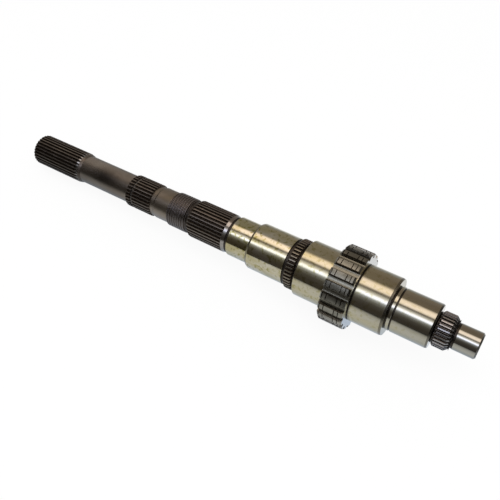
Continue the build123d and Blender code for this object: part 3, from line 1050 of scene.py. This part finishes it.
# %% [markdown]
# ### Middle spline
# A small part slides on here and is held by a snap ring, whose groove crosses the teeth near their tail end.

# %% Make the middle spline
MIDDLE_CHAMFER = 0.8
SNAP_GROOVE = (2.0, 1.2)
SNAP_GROOVE_INSET = 7.7
SNAP_GROOVE_POLISH = 0.25

middle = Blank("middle spline")
middle.face(middle.start, middle.crest - MIDDLE_CHAMFER)
middle.row(middle.start + MIDDLE_CHAMFER, middle.crest)
middle.groove(middle.end - SNAP_GROOVE_INSET, *SNAP_GROOVE, polish=SNAP_GROOVE_POLISH)
middle.close(MIDDLE_CHAMFER, MIDDLE_CHAMFER)
middle.toothed("middle_spline", SPLINE_STEEL)

# %% [markdown]
# ### Output spline
# The yoke slides on these teeth. They rise from the shank on a long slope, and the tail end has the second
# drilled centre that the shaft was ground on.

# %% Make the output spline
OUTPUT_SLOPE = 6.6
OUTPUT_CHAMFER = 1.0
OUTPUT_FIRST_CUT = 3.4
OUTPUT_RUNOUT = 5.0
OUTPUT_STEP = 0.05
SLOPE_POLISH = 0.45

output = Blank("output spline")
output.row(output.start, 0.0)
output.row(output.start, output.floor + OUTPUT_STEP)
output.slope(OUTPUT_SLOPE, OUTPUT_FIRST_CUT, OUTPUT_RUNOUT, SLOPE_POLISH)
output.row(output.end - OUTPUT_CHAMFER, output.crest)
output.row(output.end, output.crest - OUTPUT_CHAMFER)
output.row(output.end, CENTRE_MOUTH_RADIUS)
output.row(output.end - CENTRE_CONE_DEPTH, CENTRE_HOLE_RADIUS)
output.row(output.end - CENTRE_HOLE_DEPTH, CENTRE_HOLE_RADIUS)
output.row(output.end - CENTRE_HOLE_DEPTH, 0.0)
output.toothed("output_spline", SPLINE_STEEL, tooth_at=-pi / 2)

# %% [markdown]
# ## Nut thread
# A thread is a ridge that climbs one pitch per turn. The tree shifts a saw-tooth of the station by the angle,
# which gives one unbroken helix, and takes the lower of that and a blank with leads, so that the thread fades
# out at both ends. It is right-handed.

# %% Tree that cuts a thread
THREAD_FLANK = (0.07, 0.42)


def threading_tree():
    """Tree: a threaded stretch from its start, length, pitch, radii and lead, in millimetres."""
    sizes = ("Start", "Length", "Pitch", "Crest radius", "Root radius", "Lead")
    inputs = {size: "NodeSocketFloat" for size in sizes}
    inputs.update({"Rows": "NodeSocketInt", "Steps": "NodeSocketInt", "Material": "NodeSocketMaterial"})
    tree, inside, out = new_geometry_tree("Cut a thread", inputs)
    start, length, pitch, crest, root, lead = (inside.outputs[size] for size in sizes)
    rows, steps = inside.outputs["Rows"], inside.outputs["Steps"]
    with_ends = plus(tree, rows, 2.0)
    grid, row, column = numbered_grid(tree, with_ends, plus(tree, steps, 1.0))
    last = minus(tree, rows, 1.0)
    share = over(tree, minus(tree, row, 1.0), last, clamp=True)
    along = times(tree, share, length)
    turn = over(tree, column, steps)
    phase = math(tree, "FRACT", plus(tree, over(tree, along, pitch), turn))
    saw = math(tree, "ABSOLUTE", minus(tree, phase, 0.5))
    ridge = spread(tree, saw, *THREAD_FLANK)
    cut = plus(tree, root, times(tree, ridge, minus(tree, crest, root)))
    from_end = math(tree, "MINIMUM", along, minus(tree, length, along))
    blank = math(tree, "MINIMUM", crest, plus(tree, minus(tree, crest, lead), from_end))
    surface = math(tree, "MINIMUM", cut, blank)
    inner = times(tree, math(tree, "GREATER_THAN", row, 0.5),
                 math(tree, "LESS_THAN", row, plus(tree, rows, 0.5)))
    radius = times(tree, surface, inner)
    angle = times(tree, turn, 2 * pi)
    position = round_axis(tree, plus(tree, start, along), radius, angle)
    finish_tree(tree, out, grid, position, {"height": ridge}, inside.outputs["Material"])
    return tree


THREADING = threading_tree()
print("made tree", THREADING.name)

# %% [markdown]
# The photograph shows a few faint ridges about 3 mm apart, so the thread is drawn shallow. The tree makes its
# own grid, and its source is an empty mesh.

# %% Make the nut thread
THREAD_PITCH = 3.0
THREAD_ROOT = 18.5
THREAD_LEAD = 1.6
THREAD_ROWS, THREAD_STEPS = 120, 144

finished_piece("nut_thread", outline_mesh("thread_rows", [], {}), THREADING, {
    "Start": starts["thread"], "Length": LENGTHS["thread"], "Pitch": THREAD_PITCH,
    "Crest radius": RADII["thread"], "Root radius": THREAD_ROOT, "Lead": THREAD_LEAD, "Rows": THREAD_ROWS,
    "Steps": THREAD_STEPS, "Material": THREAD_STEEL})

# %% [markdown]
# ## Bench, light and camera
# The photograph is a catalogue picture on white. The bench is a pale plane that runs to the horizon. Rays
# from the camera see it mostly white, with the shaft's faint shadow. Rays from shiny steel see it bright only
# beside the shaft, and darker to the front, the back and the tail, as the journals show it.

# %% Bench
BENCH_HALF = 6.0
BENCH_WHITE = (0.9, 0.9, 0.9, 1.0)
SHADOW_SHARE = 0.08
# How far the bright bench reaches to the front: a little, more towards the tail, and hardly at all past it.
FRONT_REACH, FRONT_SKEW, SKEW_START, SKEW_LENGTH = 0.06, 0.6, 0.25, 0.35
NARROW_LONG, NARROW_SHARE = (-0.06, -0.2), 0.1
# Ranges in metres over which the bench grows darker, and the share of its light that is left there.
FRONT_FADE, FRONT_SHARE = (0.0, 0.36), 0.07
BACK_FADE, BACK_SHARE = (0.05, 0.25), 0.45
TAIL_FADE, TAIL_SHARE = (-0.08, -0.22), 0.55
SHADE_BLUE, SHADE_WHITE = (0.6, 0.68, 0.8, 1.0), (1.0, 1.0, 1.0, 1.0)
SHADE_OFFSET, SHADE_WIDTH = 0.01, 0.045


def fading(tree, value, limits, share):
    """1 before the first limit, falling to a share at the second."""
    return between(tree, spread(tree, value, *limits), 1.0, share)


def mirror_light(tree):
    """How bright the bench looks in the steel: it falls off to the front, to the back and to the tail."""
    place = parts_of(tree, object_place(tree))
    across, along = place["Y"], place["X"]
    tailwards = math(tree, "MINIMUM", minus(tree, SKEW_START, along), SKEW_LENGTH)
    wide = plus(tree, FRONT_REACH, times(tree, tailwards, FRONT_SKEW))
    reach = times(tree, wide, fading(tree, along, NARROW_LONG, NARROW_SHARE))
    past_front = minus(tree, times(tree, across, -1.0), reach)
    front = fading(tree, past_front, FRONT_FADE, FRONT_SHARE)
    back = fading(tree, across, BACK_FADE, BACK_SHARE)
    return times(tree, times(tree, front, back), fading(tree, along, TAIL_FADE, TAIL_SHARE))


def mirror_colour(tree):
    """The bench close to the shaft lies in its blue shade; further out it is white."""
    across = parts_of(tree, object_place(tree))["Y"]
    away = spread(tree, math(tree, "ABSOLUTE", plus(tree, across, SHADE_OFFSET)), 0.0, SHADE_WIDTH)
    return blend(tree, away, SHADE_BLUE, SHADE_WHITE)


def white_and_lit(tree, lit, seen_share):
    """A shader that glows softly to mirror rays, is partly white to the camera, and is lit by lamps."""
    path = add(tree, "ShaderNodeLightPath")
    white = add(tree, "ShaderNodeEmission", {"Color": (1, 1, 1, 1), "Strength": 1.0}).outputs[0]
    mirrored = math(tree, "MAXIMUM", path.outputs["Is Glossy Ray"], path.outputs["Is Transmission Ray"])
    seen = times(tree, path.outputs["Is Camera Ray"], seen_share)
    lit_and_seen = add(tree, "ShaderNodeMixShader", {0: seen, 1: lit, 2: white}).outputs[0]
    glow = add(tree, "ShaderNodeEmission", {"Color": mirror_colour(tree), "Strength": mirror_light(tree)})
    return add(tree, "ShaderNodeMixShader", {0: mirrored, 1: lit_and_seen, 2: glow.outputs[0]}).outputs[0]


def stage_object(name, corners, faces, material):
    """A mesh of a few faces with one material, for the studio."""
    mesh = bpy.data.meshes.new(name)
    mesh.from_pydata(corners, [], faces)
    mesh.materials.append(material)
    return new_object(name, mesh)


def make_bench():
    """The pale floor plane."""
    material, tree, shader = new_material("pale_bench")
    shader.inputs["Base Color"].default_value = BENCH_WHITE
    shader.inputs["Roughness"].default_value = 0.8
    surface = white_and_lit(tree, shader.outputs[0], 1.0 - SHADOW_SHARE)
    tree.links.new(surface, tree.nodes["Material Output"].inputs["Surface"])
    half = BENCH_HALF
    corners = [(-half, -half, 0), (half, -half, 0), (half, half, 0), (-half, half, 0)]
    bench = stage_object("bench", corners, [(0, 1, 2, 3)], material)


make_bench()

# %% [markdown]
# ### Light tent
# Ground steel shows nothing but what stands round it. The photographer's studio can be read from the bands on
# the journals: a dim brown wall behind, a warm panel overhead, a dark slot, a cool softbox in front of it,
# and then darkness down to the white floor. A long half-round tent over the bench carries those panels. Only
# mirror rays see it, so the bench and its shadow stay in plain light. The panels end before the stretch that
# the shank mirrors, because the shank shows none of them.

# %% Light tent
TENT_RADIUS = 1.2
TENT_STEPS = 48
TENT_LONG = (-12.0, 8.0)
TENT_ANGLES = (-93.0, 91.0)
TENT_BRIGHTEST = 5.0
PANEL_LONG = (-0.68, 0.45)
PANEL_SOFT_EDGE = 0.04
# Ranges along the shaft over which the panels weaken, the wall greys, and the tent goes dark past the nose
# and far away.
WEAKER_LONG, WEAKER_SHARE = (0.1, -0.6), 0.82
GREY_LONG, GREY_ANGLES, GREY_WALL = (0.0, -0.6), (-14.0, -26.0), (0.088, 0.084, 0.08, 1.0)
PAST_NOSE_LONG, PAST_NOSE_DARKNESS = (PANEL_LONG[1], 0.6), 0.75
FAR_LONG, FAR_DARKNESS = (1.2, 3.0), 0.5
# Each stop is an angle from straight up towards the camera's side, and the panel's light there.
TENT_STOPS = (
    (-93.0, (0.40, 0.34, 0.28)),
    (-52.0, (0.31, 0.24, 0.18)),
    (-25.0, (0.33, 0.26, 0.19)),
    (-15.0, (2.3, 1.95, 1.7)),
    (-4.0, (2.7, 2.3, 2.05)),
    (4.0, (2.3, 2.0, 1.8)),
    (10.0, (0.45, 0.38, 0.33)),
    (14.0, (0.42, 0.38, 0.35)),
    (23.0, (1.65, 1.6, 1.55)),
    (31.0, (3.5, 3.6, 4.4)),
    (36.0, (2.9, 3.1, 3.9)),
    (41.5, (0.8, 0.84, 0.95)),
    (50.0, (0.31, 0.31, 0.31)),
    (60.0, (0.13, 0.12, 0.11)),
    (75.0, (0.08, 0.07, 0.062)),
    (91.0, (0.075, 0.065, 0.058)),
)
# The same beyond the panels' ends.
DARK_STOPS = (
    (-93.0, (0.52, 0.47, 0.43)),
    (-52.0, (0.6, 0.54, 0.49)),
    (-20.0, (0.6, 0.54, 0.49)),
    (0.0, (0.36, 0.32, 0.29)),
    (14.0, (0.22, 0.2, 0.18)),
    (30.0, (0.13, 0.115, 0.1)),
    (45.0, (0.075, 0.065, 0.055)),
    (91.0, (0.05, 0.045, 0.04)),
)


def ramp(tree, value, stops):
    """Colour of a list of stops at an angle that was brought into 0 to 1."""
    node = add(tree, "ShaderNodeValToRGB", {"Fac": value})
    low, high = TENT_ANGLES
    elements = node.color_ramp.elements
    while len(elements) < len(stops):
        elements.new(0.5)
    for element, (angle, colour) in zip(elements, stops):
        element.position = (angle - low) / (high - low)
        element.color = (*(part / TENT_BRIGHTEST for part in colour), 1.0)
    return node.outputs["Color"]


def tent_material():
    """Material of the tent: its panels' light by angle and by place along the shaft."""
    material, tree, shader = new_material("light_tent")
    place = parts_of(tree, object_place(tree))
    along, (first, last) = place["X"], PANEL_LONG
    angle = math(tree, "ARCTAN2", times(tree, place["Y"], -1.0), place["Z"])
    share = spread(tree, angle, *map(radians, TENT_ANGLES))
    start = spread(tree, along, first - PANEL_SOFT_EDGE, first + PANEL_SOFT_EDGE)
    end = spread(tree, along, last + PANEL_SOFT_EDGE, last - PANEL_SOFT_EDGE)
    weaker = fading(tree, along, WEAKER_LONG, WEAKER_SHARE)
    inside_panels = times(tree, times(tree, start, end), weaker)
    panels = blend(tree, inside_panels, ramp(tree, share, DARK_STOPS), ramp(tree, share, TENT_STOPS))
    on_wall = spread(tree, angle, *map(radians, GREY_ANGLES))
    tail_side = times(tree, on_wall, spread(tree, along, *GREY_LONG))
    grey_wall = blend(tree, times(tree, tail_side, start), panels, GREY_WALL)
    far = times(tree, spread(tree, math(tree, "ABSOLUTE", along), *FAR_LONG), FAR_DARKNESS)
    past_nose = times(tree, spread(tree, along, *PAST_NOSE_LONG), PAST_NOSE_DARKNESS)
    light = blend(tree, math(tree, "MAXIMUM", far, past_nose), grey_wall, (0.0, 0.0, 0.0, 1.0))
    shader.inputs["Base Color"].default_value = (0.0, 0.0, 0.0, 1.0)
    fill(tree, shader.inputs["Emission Color"], light)
    shader.inputs["Emission Strength"].default_value = TENT_BRIGHTEST
    return material


def make_tent():
    """The half-round tent, a strip of faces over the bench."""
    low, high = map(radians, TENT_ANGLES)
    corners = []
    for step in range(TENT_STEPS + 1):
        spoke = Quaternion((1, 0, 0), low + (high - low) * step / TENT_STEPS) @ Vector((0, 0, TENT_RADIUS))
        corners += [(x, spoke.y, spoke.z) for x in TENT_LONG]
    faces = [(a, a + 1, a + 3, a + 2) for a in range(0, 2 * TENT_STEPS, 2)]
    tent = stage_object("light_tent", corners, faces, tent_material())
    tent.visible_camera = False
    tent.visible_diffuse = False
    tent.visible_shadow = False
    tent.visible_transmission = False


make_tent()

# %% [markdown]
# The bench itself is lit by a plain white sky and one soft lamp overhead, which gives the shaft its shadow.

# %% Sky and lamp
SKY_STRENGTH = 0.9
LAMP_PLACE, LAMP_SIZE, LAMP_POWER = (0.1, -0.2, 1.3), (1.6, 0.8), 6.0


def white_sky():
    """White to the camera and in mirrors, and a plain soft light for everything else."""
    world = bpy.data.worlds.new("studio")
    bpy.context.scene.world = world
    world.use_nodes = True
    tree = world.node_tree
    tree.nodes.clear()
    light = add(tree, "ShaderNodeBackground", {"Color": (1, 1, 1, 1), "Strength": SKY_STRENGTH})
    seen = add(tree, "ShaderNodeBackground", {"Color": (1, 1, 1, 1), "Strength": 1.0})
    path = add(tree, "ShaderNodeLightPath")
    eye = math(tree, "MAXIMUM", path.outputs["Is Camera Ray"], path.outputs["Is Glossy Ray"])
    eye = math(tree, "MAXIMUM", eye, path.outputs["Is Transmission Ray"])
    mix = add(tree, "ShaderNodeMixShader", {0: eye, 1: light.outputs[0], 2: seen.outputs[0]})
    tree.links.new(mix.outputs[0], add(tree, "ShaderNodeOutputWorld").inputs["Surface"])


def overhead_lamp():
    """A soft rectangular lamp that points down at the bench and doesn't show in the steel."""
    data = bpy.data.lights.new("overhead_lamp", "AREA")
    data.shape = "RECTANGLE"
    data.size, data.size_y = LAMP_SIZE
    data.energy = LAMP_POWER
    lamp = new_object("overhead_lamp", data)
    lamp.location = LAMP_PLACE
    lamp.visible_glossy = False


white_sky()
overhead_lamp()

# %% [markdown]
# The camera's place was found from the photograph: the widths of the cylinders along the picture give the
# distance and the focal length, the circles at the steps give the direction, and the hub's teeth give how far
# round the axis it stands. It looks down by 50 degrees and is turned a little about its line of sight.

# %% Camera
CAMERA_PLACE = Vector((0.240744, -0.342349, 0.493594))
LINE_OF_SIGHT = Vector((-0.342207, 0.551538, -0.760723))
CAMERA_ROLL = radians(1.405)
LENS, SENSOR_WIDTH = 43.342, 36.0

camera_data = bpy.data.cameras.new("camera")
camera_data.lens, camera_data.sensor_width = LENS, SENSOR_WIDTH
camera_data.clip_start, camera_data.clip_end = 0.01, 50.0
camera = new_object("camera", camera_data)
camera.location = CAMERA_PLACE
level = LINE_OF_SIGHT.to_track_quat("-Z", "Y")
camera.rotation_euler = (level @ Quaternion((0, 0, 1), CAMERA_ROLL)).to_euler()
bpy.context.scene.camera = camera
bpy.context.scene.view_settings.view_transform = "Standard"
print("camera at", CAMERA_PLACE)
